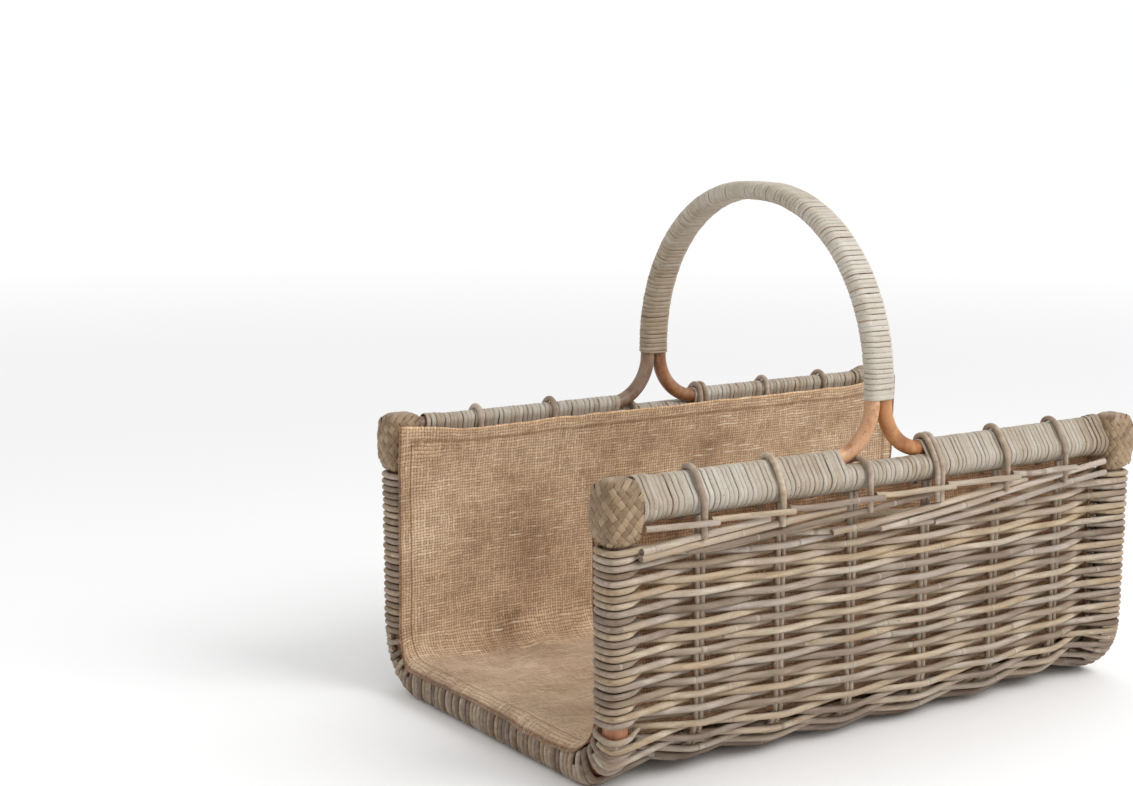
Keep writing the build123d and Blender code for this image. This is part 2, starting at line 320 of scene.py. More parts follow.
stake_bark = bare_rattan("stake_bark", (500.0, 60.0, 60.0), (0.36, 0.29, 0.22), (0.56, 0.47, 0.37))
weave_length = 2 * (WEAVE_TOP - FLOOR_Z - 2 * BEND + WALL_Y) + math.pi * BEND
STAKE_XS = []
for number in range(1, 7):
    low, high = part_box(f"stake_pair_{number}")
    STAKE_XS.append((low[0] + high[0]) / 2)
    routes = []
    above = high[2] - WEAVE_TOP
    steps = 90
    for beside in (-1, 1):
        route = []
        for step in range(steps + 1):
            place, _, hang, _ = row_frame(step / steps * (weave_length + 2 * above) - above)
            x = STAKE_XS[-1] + beside * (STAKE + STAKE_HALF_GAP)
            sink = hang * hangs(x) if place.z < WEAVE_TOP - 40 * MM else Vector()
            route.append(Vector((x, place.y + sink.y, place.z + sink.z)))
        routes.append(route)
    piece = rods(f"stake_pair_{number}_bent", routes, [STAKE, STAKE], 2, 3)
    finished(piece, stake_bark, "stake_rattan", f"stake_pair_{number}")


# ------------------------------------------------------------ wefts
# Round rattan rods, grey and bleached by weather, woven along the basket over and under the
# stakes. They wrap round the hoops at both ends, but for two rows that stop behind the left
# one. One weave makes walls, bends and floor.
ROWS = 114
WEFT = 2.8 * MM                  # radius of a weft
OVER = 5.25 * MM                 # how far a weft stands off the middle of the wall at a stake
FLAT = 7.5 * MM                  # half of its level stretch over a stake pair
HOOK = POLE + WEFT + 0.1 * MM    # radius of the turn round a hoop
UNWOUND = {24, 30}               # rows that stop behind the left hoop and leave its bark bare


def ripple(x, y, z):
    """Smooth noise at a place, between about -1 and 1."""
    return noise.noise(Vector((x, y, z)))


def toned(material, tone, patch, spread, stops):
    """Colours by the tone of each rod or turn, which drifts by a spread along it."""
    drift = maths(material, "MULTIPLY_ADD", patch, spread, -spread / 2)
    return ramp(material, maths(material, "ADD", tone, drift), stops)


def weathered(name, stretch, stops):
    """Weathered rattan rod: its own tone and hue, streaks, bleaching, specks and node rings.

    The turns round the hoops are darker. The ramp's stops run from the darkest tone to the palest.
    """
    material, shader = surface(name, 0.6, 0.32)
    place = object_place(material)
    own = node(material, "ShaderNodeAttribute", {}, attribute_name="tone")
    tone, shift = own.outputs["Fac"], own.outputs["Vector"]
    fibre = grain(material, place, stretch, shift)
    patch = grain(material, place, (13.0, 30.0, 30.0), shift, 3.0)
    speck = grain(material, place, (520.0, 900.0, 900.0), shift, 1.0)
    colour = toned(material, tone, patch, 0.9, stops)
    hue = ramp(material, maths(material, "FRACT", maths(material, "MULTIPLY", tone, 7.3)),
               [(0.0, (0.98, 0.91, 0.91)), (0.6, (0.98, 0.92, 0.86)), (1.0, (1.02, 0.92, 0.79))])
    colour = mixed(material, 1.0, colour, hue, "MULTIPLY")
    colour = tinted(material, levels(material, fibre, 0.40, 0.72), colour, (0.74, 0.67, 0.60))
    colour = tinted(material, levels(material, fibre, 0.46, 0.28), colour, (1.22, 1.20, 1.16))
    reach = maths(material, "ABSOLUTE", apart(material, place)["X"])
    at_hoops = levels(material, reach, 250 * MM, 272 * MM)
    colour = tinted(material, at_hoops, colour, (0.84, 0.80, 0.77))
    colour = tinted(material, levels(material, speck, 0.68, 0.76), colour, (0.42, 0.33, 0.26))
    growth = grain(material, place, (7.0, 0.0, 0.0), shift, 0.0)
    rings = [(0.5, 0.003, 0.35, (0.58, 0.53, 0.44)), (0.5045, 0.0015, 0.5, (0.17, 0.13, 0.10))]
    for middle, half, share, tint in rings:
        ring = maths(material, "COMPARE", growth, middle, half)
        colour = mixed(material, maths(material, "MULTIPLY", ring, share), colour, (*tint, 1.0))
    link(material, colour, shader.inputs["Base Color"])
    raised(material, shader, fibre, 0.35, 0.35 * MM)
    return material


weft_bark = weathered("weft_bark", (14.0, 270.0, 270.0), [
    (0.0, (0.23, 0.185, 0.145)), (0.28, (0.36, 0.315, 0.265)), (0.5, (0.43, 0.395, 0.345)),
    (0.72, (0.45, 0.38, 0.285)), (1.0, (0.53, 0.49, 0.425)),
])


def weft_route(row, pitch):
    """Group, control points and swellings of one weft, from its left tail to its right one."""
    place, outward, hang, group = row_frame((row + 0.5) * pitch)
    across = outward.cross(Vector((1, 0, 0)))
    side = 1 if row % 2 == 0 else -1
    over = OVER * random.uniform(0.98, 1.08)
    settled = random.uniform(-0.2, 0.2) * MM
    flat_route = []
    for end, level in ((-1, side), (1, -side)):
        tuck = random.uniform(12, 17) * MM
        reach = HOOP_X + HOOK + random.uniform(-0.2, 0.9) * MM
        # along the basket, out from the wall, share of the full thickness
        tail = [
            (end * (HOOP_X - tuck - 9 * MM), level * 2.4 * MM, 0.6),
            (end * (HOOP_X - tuck), -level * 4 * MM, 0.8),
            (end * (HOOP_X - 3 * MM), -level * HOOK, 0.9),
            (end * reach, -level * HOOK, 0.9),
        ]
        if group.startswith("bend") and level > 0:
            tail = [(end * reach, -2 * MM, 0.8)]
        turn = [(end * reach, level * HOOK, 0.9), (end * (HOOP_X - 2 * MM), level * HOOK, 0.97)]
        if end < 0 and row in UNWOUND:
            tail, turn = [], [(end * (HOOP_X - 2 * MM), -HOOK, 0.9)]
        if end < 0:
            flat_route += tail + turn
            for number, x in enumerate(STAKE_XS):
                level_here = side * (-1) ** (number + 1) * over
                centre = x + random.uniform(-1.5, 1.5) * MM
                flat_route += [(centre - FLAT, level_here, 1.0), (centre + FLAT, level_here, 1.0)]
        else:
            flat_route += (tail + turn)[::-1]
    route, swell = [], []
    for x, out, size in flat_route:
        share = hangs(x)
        drift = ripple(x * 9, row * 0.23, 3.1) * 2.4 * MM
        drift += ripple(x * 28, row * 1.9, 8.4) * 0.6 * MM
        spot = place + outward * out + hang * share + across * (drift * share + settled)
        route.append(Vector((x, spot.y, max(spot.z, WEFT))))
        swell.append(size)
    return group, route, swell


woven = {}
for row in range(ROWS):
    group, route, swell = weft_route(row, weave_length / ROWS)
    thickness = WEFT * random.uniform(0.93, 1.02)
    taper = random.uniform(-0.04, 0.04)
    last = len(route) - 1
    radii = [thickness * size * (1 + taper * (2 * n / last - 1)) for n, size in enumerate(swell)]
    woven.setdefault(group, []).append((route, radii))
for group, members in woven.items():
    piece = rods(group + "_woven", [m[0] for m in members], [m[1] for m in members])
    finished(piece, weft_bark, "weathered_rattan", group)


# ------------------------------------------------------------ hoop fillers
# Where the hoops bend, the weft turns fan apart. Short rods with shaved ends are wound into
# most of the gaps, and the bare pole shows in the few that are left.
LEFT_BARE = {(-1, -1, 5), (-1, -1, 6), (-1, -1, 0)}    # end, wall and row, counted by dozens
SKIPPED = 0.12                        # share of the other gaps that have no filler
LOWEST_FILLER = 2.4 * MM              # height of a filler's middle over the ground, at least
routes, radii = [], []
pitch = weave_length / ROWS
for end in (-1, 1):
    for row in range(ROWS - 1):
        place, outward, _, group = row_frame((row + 1) * pitch)
        if not group.startswith("bend"):
            continue
        side = -1 if group.endswith("front") else 1
        if (end, side, row % 12) in LEFT_BARE or random.random() < SKIPPED:
            continue
        across = outward.cross(Vector((1, 0, 0)))
        skew = random.uniform(-0.8, 0.8) * MM
        turn = [                      # along from the hoop, out from it, radius of the rod
            (-9.0, 11.2, 0.4),
            (-3.0, 11.6, 1.0),
            (4.0, 11.7, 2.0),
            (11.7, 11.7, 2.2),
            (11.7, 1.5, 1.3),
        ]
        route = []
        for number, (along, out, size) in enumerate(turn):
            spot = Vector((end * (HOOP_X + along * MM), place.y, place.z))
            spot += outward * out * MM + across * skew * (number / 2 - 1)
            spot.z = max(spot.z, LOWEST_FILLER)
            route.append(spot)
        routes.append(route)
        radii.append([size * random.uniform(0.85, 1.05) * MM for _, _, size in turn])
piece = rods("hoop_fillers_wound", routes, radii, 6, 3)
finished(piece, weft_bark, "weathered_rattan")


# ------------------------------------------------------------ filler rods, runners and loops
# Rods of the same rattan that finish the top of each wall: slanting rods laid over the first
# rows, a loop over the rim at every stake, and short runners under the rim that hold the loops.
rim_low, rim_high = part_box("rim_pole_front")
RIM_Z = (rim_low[2] + rim_high[2]) / 2
LOOP = 2.45 * MM                      # radius of loops and runners
LOOP_XS = [x * MM for x in (-194, -119, -30.5, 42, 47.2, 122, 192)]
HANDLE_X = -7 * MM
THICK_RIM = 43 * MM                   # further from the handle, its pole lies on the rim
RUNNER_LEVEL = -14.3                  # height of the runners from the rim's axis, in mm


loop_bark = weathered("loop_bark", (60.0, 200.0, 200.0), [
    (0.0, (0.24, 0.19, 0.145)), (0.4, (0.36, 0.30, 0.235)), (0.7, (0.42, 0.36, 0.285)),
    (1.0, (0.52, 0.47, 0.39)),
])


def on_wall(side, x, out, up):
    """A place given from a rim pole's axis: along it, outward from it and above it."""
    return Vector((x, side * (WALL_Y + out), RIM_Z + up))


def smooth_step(value, low, high):
    """A soft step from 0 at low to 1 at high."""
    share = min(1.0, max(0.0, (value - low) / (high - low)))
    return share * share * (3 - 2 * share)


def loop_route(side, x):
    """Up inside the wall, tightly over the bound rim and down outside it."""
    outline = [(13.6, -27), (13.5, -10), (13.5, 13.6), (-13.5, 13.6), (-14, -3), (-15, -18)]
    if abs(x - HANDLE_X) > THICK_RIM:
        outline = [(13.6, -27), (13.6, -10), (13.5, 1.7), (1.9, 21.1), (-7, 26.1)]
        outline += [(-17.2, 20.2), (-17, -18)]
    lean = random.uniform(-2.5, 2.5) * MM
    points = []
    for number, (out, up) in enumerate(outline):
        shift = lean * (number / len(outline) - 0.4)
        points.append(on_wall(side, x + shift, out * MM, up * MM))
    return points


def runner_route(side, start, end, level):
    """From behind beside one loop to just past the front of the next."""
    sag = random.uniform(-1.2, 0.6)
    outline = [
        (start, 11.2, level + 0.6),
        (start + 14 * MM, 12.2, level + sag),
        ((start + end) / 2, 14.6, level + sag),
        (end - 14 * MM, 18.0, level + 0.4),
        (end - 2 * MM, 18.6, level),
        (end + random.uniform(7, 13) * MM, 18.2, level - 0.6),
    ]
    return [on_wall(side, x, out * MM, up * MM) for x, out, up in outline]


FILLERS = [                           # start and its height, end and its height, distance outwards
    (-251, -29.5, -130, -20.0, 10.4),
    (-252, -34.5, -54, -20.5, 10.2),
    (-206, -37.0, 44, -20.0, 10.9),
    (-64, -40.5, 148, -20.5, 10.3),
    (-14, -43.5, 241, -14.5, 10.8),
    (46, -46.0, 243, -24.5, 10.2),
]


def filler_route(side, start, low, end, high, out):
    """A long rod laid slanting over the top rows, pressed in where it starts."""
    points = []
    for step in range(9):
        share = step / 8
        x = start + (end - start) * share
        near_hoop = smooth_step(abs(x), 195, 250)
        wave = ripple(share * 4, out * 3, side) * 1.4
        pressed = out - 3.0 * (1 - smooth_step(share, 0, 0.2)) * (1 - near_hoop) + 4.2 * near_hoop
        rise = low + (high - low) * share ** 1.15 + wave * math.sin(math.pi * share)
        points.append(on_wall(side, x * MM, (pressed + 0.4 * wave) * MM, rise * MM))
    return points


def cut_rods(name, routes, radius, thinnest, thickest, material, replaced):
    """One piece of rods that differ a little in thickness."""
    radii = [radius * random.uniform(thinnest, thickest) for _ in routes]
    finished(rods(name, routes, radii, 8, 4), material, "weathered_rattan", replaced)


for side, wall in ((-1, "front"), (1, "back")):
    routes = [loop_route(side, x) for x in LOOP_XS]
    cut_rods(f"rim_loops_{wall}_bent", routes, LOOP, 0.95, 1.1, loop_bark, f"rim_loops_{wall}")
    stops = [x for x in LOOP_XS if x != LOOP_XS[3]]    # two loops stand together at a stake
    starts = [-246 * MM] + [x + 8 * MM for x in stops[:-1]]
    routes = []
    for start, end in zip(starts, stops):
        routes.append(runner_route(side, start, end, RUNNER_LEVEL - random.uniform(0, 1.0)))
    cut_rods(f"border_runners_{wall}_cut", routes, LOOP, 0.94, 1.1, weft_bark, f"border_runners_{wall}")
    routes = [filler_route(side, *filler) for filler in FILLERS]
    cut_rods(f"filler_rods_{wall}_laid", routes, WEFT, 0.9, 1.05, weft_bark, f"filler_rods_{wall}")


# ------------------------------------------------------------ handle poles
# Two thinner bare poles that lie on the rims, turn up at mid-length and run side by side over
# the arch. They keep their CAD shape. The smooth bark is orange-brown and turns grey at the back.
stretch = (90.0, 90.0, 60.0)
left_bark = bare_rattan("handle_bark_left", stretch, (0.53, 0.285, 0.15), (0.77, 0.485, 0.285),
                        ("Y", 40 * MM, 110 * MM, 0.8))
right_bark = bare_rattan("handle_bark_right", stretch, (0.34, 0.13, 0.045), (0.58, 0.28, 0.115),
                         ("Y", 60 * MM, 170 * MM, 0.45))
finish_cad(left_bark, "handle_pole_left")
finish_cad(right_bark, "handle_pole_right")


# ------------------------------------------------------------ rim bindings
# Flat rattan peel, 4 to 5 mm wide, wound side by side round each rim pole, and round rim and
# handle pole together outside the handle's legs. Each turn leans a little.
PEEL = 1.3 * MM                  # thickness
HANDLE_POLE = 6.3 * MM           # radius
HANDLE_IN = 7.0 * MM             # how far inside and above the rim pole the handle pole lies
HANDLE_UP = 14.25 * MM
FLATNESS = 0.85                  # of its section: 1 is an ellipse, and less has blunter edges
JOIN = 7.5 * MM                  # the plain turns run on under the ends of the doubled ones


def strap(shape, loop, width, thick, tone, around=40):
    """One closed turn of flat peel. loop gives place, outward and across for a turn of 0 to 1."""
    before = set(shape.verts)
    bmesh.ops.create_grid(shape, x_segments=around, y_segments=10, size=0.5, calc_uvs=True)
    fresh = [vert for vert in shape.verts if vert not in before]
    layer = shape.verts.layers.float["tone"]
    for vert in fresh:
        along, round_edge = vert.co.x + 0.5, (vert.co.y + 0.5) * math.tau
        place, outward, across = loop(along)
        side, rise = math.cos(round_edge), math.sin(round_edge)
        side = math.copysign(abs(side) ** FLATNESS, side)
        vert.co = place + across * side * width / 2 + outward * thick * (0.45 + 0.55 * rise)
        vert[layer] = tone
    bmesh.ops.remove_doubles(shape, verts=fresh, dist=0.02 * MM)


def shaped(name, shape):
    """A new object in the scene, smooth all over, from a bmesh."""
    for face in shape.faces:
        face.smooth = True
    mesh = bpy.data.meshes.new(name)
    shape.to_mesh(mesh)
    shape.free()
    return in_scene(name, mesh)


def straps(name, turns, thick=PEEL, around=40):
    """One object of many turns of peel, each given as loop, width and tone."""
    shape = bmesh.new()
    shape.verts.layers.float.new("tone")
    shape.loops.layers.uv.new("UVMap")
    for loop, width, tone in turns:
        strap(shape, loop, width, thick * random.uniform(0.9, 1.12), tone, around)
    bmesh.ops.recalc_face_normals(shape, faces=shape.faces)
    return shaped(name, shape)


def shade(zone, spread):
    """A tone from 0 to 1 near that of a zone."""
    return min(1.0, max(0.0, zone + random.uniform(-spread, spread)))


def hull_place(turn, circles):
    """Place and outward direction on a tight band round some circles, by its direction."""
    angle = turn * math.tau
    outward = Vector((math.cos(angle), math.sin(angle)))
    centre, radius = max(circles, key=lambda circle: circle[0].dot(outward) + circle[1])
    return centre + outward * radius, outward


def rim_turn(side, x, doubled, lean, phase, collar):
    """The loop of one turn round a rim, lifted by the layer of peel under it beside a corner."""
    circles = [(Vector((0, 0)), rim_radius + collar)]
    if doubled:
        circles.append((Vector((-HANDLE_IN, HANDLE_UP)), HANDLE_POLE + collar))

    def loop(turn):
        flat, out = hull_place(turn, circles)
        shift = lean * math.sin(turn * math.tau + phase)
        place = on_wall(side, x + shift, flat.x, flat.y)
        outward = Vector((0, side * out.x, out.y))
        return place, outward, Vector((1, 0, 0))

    return loop


def peel(name, stops):
    """Split rattan peel: a waxy skin with fine lines along the strip, dulled and greyed."""
    material, shader = surface(name, 0.5, 0.4)
    unwound = node(material, "ShaderNodeUVMap", {}, uv_map="UVMap").outputs["UV"]
    place = object_place(material)
    own = node(material, "ShaderNodeAttribute", {}, attribute_name="tone")
    tone, shift = own.outputs["Fac"], own.outputs["Vector"]
    fibre = grain(material, unwound, (5.0, 26.0, 1.0), shift)
    patch = grain(material, place, (60.0, 60.0, 60.0), shift, 3.0)
    speck = grain(material, place, (700.0, 700.0, 700.0), shift, 1.0)
    colour = toned(material, tone, patch, 0.8, stops)
    colour = tinted(material, levels(material, fibre, 0.45, 0.75), colour, (0.70, 0.62, 0.53))
    colour = tinted(material, levels(material, speck, 0.66, 0.75), colour, (0.5, 0.4, 0.32))
    link(material, colour, shader.inputs["Base Color"])
    raised(material, shader, fibre, 0.3, 0.25 * MM)
    return material


rim_radius = (rim_high[2] - rim_low[2]) / 2
rim_peel = peel("rim_peel", [
    (0.0, (0.30, 0.235, 0.165)), (0.25, (0.40, 0.335, 0.255)), (0.55, (0.47, 0.425, 0.36)),
    (1.0, (0.58, 0.55, 0.49)),
])
for side, wall in ((-1, "front"), (1, "back")):
    for part in ("left", "middle", "right"):
        low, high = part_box(f"rim_binding_{wall}_{part}")
        doubled = part != "middle"
        turns = []
        x, last_x = low[0], high[0]
        if part == "middle":
            x, last_x = x - JOIN, last_x + JOIN
        while x < last_x - 1.5 * MM:
            width = random.uniform(3.9, 5.1) * MM
            lean = random.uniform(0.6, 1.5) * MM
            corner_gap = (high[0] - x if x > HANDLE_X else x - low[0]) if doubled else HOOP_X
            near_corner = 1 - smooth_step(corner_gap, 9 * MM, 16 * MM)
            collar = near_corner * random.uniform(1.1, 1.7) * MM
            loop = rim_turn(side, x + width / 2, doubled, lean, random.uniform(-0.5, 0.5), collar)
            zone = 0.46 - 0.10 * x / HOOP_X + 0.28 * ripple(x * 14, side, 4.2)
            zone -= 0.3 * (1 - smooth_step(corner_gap, 15 * MM, 40 * MM))
            turns.append((loop, width, shade(zone, 0.14)))
            x += width
        piece = straps(f"rim_binding_{wall}_{part}_wound", turns)
        finished(piece, rim_peel, "peel", f"rim_binding_{wall}_{part}")


# ------------------------------------------------------------ handle binding
# The same peel, lighter, wound in close level turns round both handle poles from leg to leg.
# It is palest at the front leg and browner towards the back one.
binding_low, binding_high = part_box("handle_binding")
ARCH = 148 * MM                  # radius of the handle's two bends
HANDLE_Y = WALL_Y - HANDLE_IN
ARCH_Z = binding_high[2] - PEEL - HANDLE_POLE
LEG_RUN = ARCH_Z - ARCH - binding_low[2]
TOP_RUN = 2 * (HANDLE_Y - ARCH)
ARCH_LENGTH = 2 * LEG_RUN + math.pi * ARCH + TOP_RUN
POLE_HALF = HANDLE_POLE + 0.1 * MM


def arch_place(distance):
    """Place and direction of the arch's middle line, by the distance from its front foot."""
    side = -1
    if distance > ARCH_LENGTH / 2:
        side, distance = 1, ARCH_LENGTH - distance
    if distance < LEG_RUN:
        y, z, angle = HANDLE_Y, binding_low[2] + distance, 0.0
    elif distance < LEG_RUN + math.pi / 2 * ARCH:
        angle = (distance - LEG_RUN) / ARCH
        y = HANDLE_Y - ARCH + ARCH * math.cos(angle)
        z = ARCH_Z - ARCH + ARCH * math.sin(angle)
    else:
        angle = math.pi / 2
        y, z = ARCH_LENGTH / 2 - distance, ARCH_Z
    along = Vector((0, -side * math.sin(angle), math.cos(angle)))
    if side > 0:
        along = -along
    return Vector((HANDLE_X, side * y, z)), along


def handle_turn(distance, lean, phase):
    """The loop of one turn round both handle poles."""
    centre, along = arch_place(distance)
    inward = along.cross(Vector((1, 0, 0)))
    circles = [(Vector((-POLE_HALF, 0)), HANDLE_POLE), (Vector((POLE_HALF, 0)), HANDLE_POLE)]

    def loop(turn):
        flat, out = hull_place(turn, circles)
        shift = lean * math.sin(turn * math.tau + phase)
        place = centre + Vector((flat.x, 0, 0)) + inward * flat.y + along * shift
        return place, Vector((out.x, 0, 0)) + inward * out.y, along

    return loop


handle_peel = peel("handle_peel", [
    (0.0, (0.32, 0.25, 0.17)), (0.3, (0.43, 0.365, 0.28)), (0.6, (0.52, 0.475, 0.40)),
    (1.0, (0.61, 0.575, 0.51)),
])
turns = []
distance = 0.0
while distance < ARCH_LENGTH - 2 * MM:
    width = min(random.uniform(3.5, 4.7) * MM, ARCH_LENGTH - distance)
    lean = random.uniform(0.2, 1.1) * MM
    loop = handle_turn(distance + width / 2, lean, random.uniform(-0.7, 0.7))
    share = distance / ARCH_LENGTH
    zone = 0.78 - 0.58 * share + 0.14 * math.sin(math.pi * share)
    zone += 0.3 * ripple(distance * 9, 0.0, 7.7)
    turns.append((loop, width, shade(zone, 0.1)))
    distance += width
piece = straps("handle_binding_wound", turns, around=32)
finished(piece, handle_peel, "peel", "handle_binding")


# ------------------------------------------------------------ corner braids
# Rattan peel plaited over each corner, where hoop, rim pole and handle pole meet: two sets of
# slanting strips that pass over and under each other and hide the nailed joint.
STRIP = 4.6 * MM                 # width of a strip
PLAIT = 0.5 * MM                 # how far it rises and dips
RISE = 0.85                      # how steeply the strips slant
BRAID_POWER = 4.0                # the higher, the more box-like the rounded block

braid_peel = peel("braid_peel", [
    (0.0, (0.20, 0.13, 0.072)), (0.3, (0.33, 0.23, 0.135)), (0.6, (0.40, 0.30, 0.195)),
    (1.0, (0.50, 0.40, 0.285)),
])


def braid_radius(direction, half):
    """How far the rounded block reaches from its middle in a direction."""
    total = sum(abs(direction[i] / half[i]) ** BRAID_POWER for i in range(3))
    return total ** (-1 / BRAID_POWER)


def braid_out(place, half):
    """Outward direction of the rounded block at a place on it."""
    slope = Vector()
    for axis in range(3):
        steep = abs(place[axis] / half[axis]) ** (BRAID_POWER - 1) / half[axis]
        slope[axis] = math.copysign(steep, place[axis])
    return slope.normalized()


def braid_turn(centre, half, normal, offset, number, other):
    """The loop of one slanting strip round a corner block, over and under the other set."""
    first = normal.orthogonal().normalized()
    second = normal.cross(first)

    def loop(turn):
        ray = first * math.cos(turn * math.tau) + second * math.sin(turn * math.tau)
        near, far = 0.0, 2 * max(half)
        for _ in range(24):
            middle = (near + far) / 2
            spot = normal * offset + ray * middle
            inside = spot.length < braid_radius(spot.normalized(), half) if spot.length else True
            near, far = (middle, far) if inside else (near, middle)
        spot = normal * offset + ray * near
        outward = braid_out(spot, half)
        weave = math.cos(math.pi * (spot.dot(other) / STRIP + number)) * PLAIT
        across = normal - outward * normal.dot(outward)
        return centre + spot + outward * weave, outward, across / max(across.length, 0.35) ** 2

    return loop


for wall in ("front", "back"):
    for end in ("left", "right"):
        low, high = (Vector(corner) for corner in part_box(f"corner_braid_{wall}_{end}"))
        centre = (low + high) / 2
        half = (high - low) / 2 - Vector((1, 1, 1)) * 0.9 * MM
        turns = []
        for slant in (-1, 1):
            normal, other = (Vector((-1, 0.9, rise * slant)).normalized() for rise in (RISE, -RISE))
            reach = braid_radius(normal, half)
            count = int(2 * reach / STRIP)
            for number in range(count):
                offset = (number - (count - 1) / 2) * STRIP
                if abs(offset) < reach - 2 * MM:
                    phase = number + (0 if slant < 0 else 1)
                    loop = braid_turn(centre, half, normal, offset, phase, other)
                    turns.append((loop, STRIP, random.uniform(0.0, 0.42)))
        piece = straps(f"corner_braid_{wall}_{end}_plaited", turns, 1.0 * MM, 60)
        finished(piece, braid_peel, "peel", f"corner_braid_{wall}_{end}")


# ------------------------------------------------------------ hessian liner
# One U-shaped sheet of coarse jute cloth with its edges turned in and sewn to a hem. It is
# stitched at the rim and hangs a little slack, so it sags and wrinkles. Its ends lie over the
# hoops, and reach further there at the back than at the front.
liner_low, liner_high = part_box("hessian_liner")
LINER_TOP_IN = 21.0 * MM         # distance in from the middle of the wall, at the rim
LINER_LOW_IN = 15.4 * MM         # and where the bend begins
CLOTH = 1.0 * MM                 # thickness
HEM = 13 * MM                    # width
SEAM = HEM - 2.2 * MM            # distance of the seam from the edge
HANG = 4.2                       # how far the slack cloth falls back, in mm
END_SHIFT = 4.0                  # the ends are this much shorter or longer, in mm
END_RISE = 6.5                   # the top corners stand or hang by this, in mm
THREAD = 2.5 * MM                # distance from thread to thread
half_length = liner_high[0]
inner_bend = BEND - LINER_LOW_IN
low_y = WALL_Y - LINER_LOW_IN
low_z = liner_low[2]
wall_run = liner_high[2] - low_z - inner_bend
bend_run = inner_bend * math.pi / 2
floor_run = 2 * (low_y - inner_bend)
LINER_LENGTH = 2 * (wall_run + bend_run) + floor_run


def liner_place(distance):
    """Place and inward direction of the liner's section, by the distance from its front top."""
    side = -1
    if distance > LINER_LENGTH / 2:
        side, distance = 1, LINER_LENGTH - distance
    if distance < wall_run:
        slope = (LINER_TOP_IN - LINER_LOW_IN) / wall_run
        y, z, angle = low_y - slope * (wall_run - distance), liner_high[2] - distance, 0.0
    elif distance < wall_run + bend_run:
        angle = (distance - wall_run) / inner_bend
        y = low_y - inner_bend + inner_bend * math.cos(angle)
        z = low_z + inner_bend - inner_bend * math.sin(angle)
    else:
        angle = math.pi / 2
        y, z = LINER_LENGTH / 2 - distance, low_z
    inward = Vector((0, -side * math.cos(angle), math.sin(angle)))
    return Vector((0, side * y, z)), inward


FOLDS = [                             # place along and down the cloth, turn, length, width, height
    (-150, 455, 0.9, 70, 11, 3.0),
    (-60, 430, 0.6, 90, 13, 2.6),
    (-205, 400, 1.2, 60, 9, 2.2),
    (-120, 380, 0.35, 80, 12, -2.4),
    (30, 470, 0.8, 80, 13, 2.4),
    (120, 440, -0.5, 70, 11, 2.2),
    (-220, 520, 0.1, 60, 8, -1.8),
    (-40, 560, 0.05, 150, 6, -1.3),
    (160, 570, 0.1, 90, 7, 1.3),
    (-170, 250, -0.7, 70, 10, 2.2),
    (0, 210, 0.5, 80, 12, 2.4),
    (150, 240, -0.6, 70, 11, -2.0),
    (-80, 300, 0.2, 100, 12, 2.0),
    (90, 330, -0.3, 90, 12, 1.8),
]


def folded(along, distance):
    """Height of the cloth's long soft folds at a place on it."""
    total = 0.0
    for x, down, turn, length, width, height in FOLDS:
        over, under = along / MM - x, distance / MM - down
        run = over * math.cos(turn) + under * math.sin(turn)
        off = under * math.cos(turn) - over * math.sin(turn) + 0.0009 * run * run
        total += height * math.exp(-((run / length) ** 2) - (off / width) ** 2)
    return total


def closer(share):
    """Spreads the rows of the mesh so that they lie closest at the hems."""
    return 1.33 * share - 0.33 * share ** 3


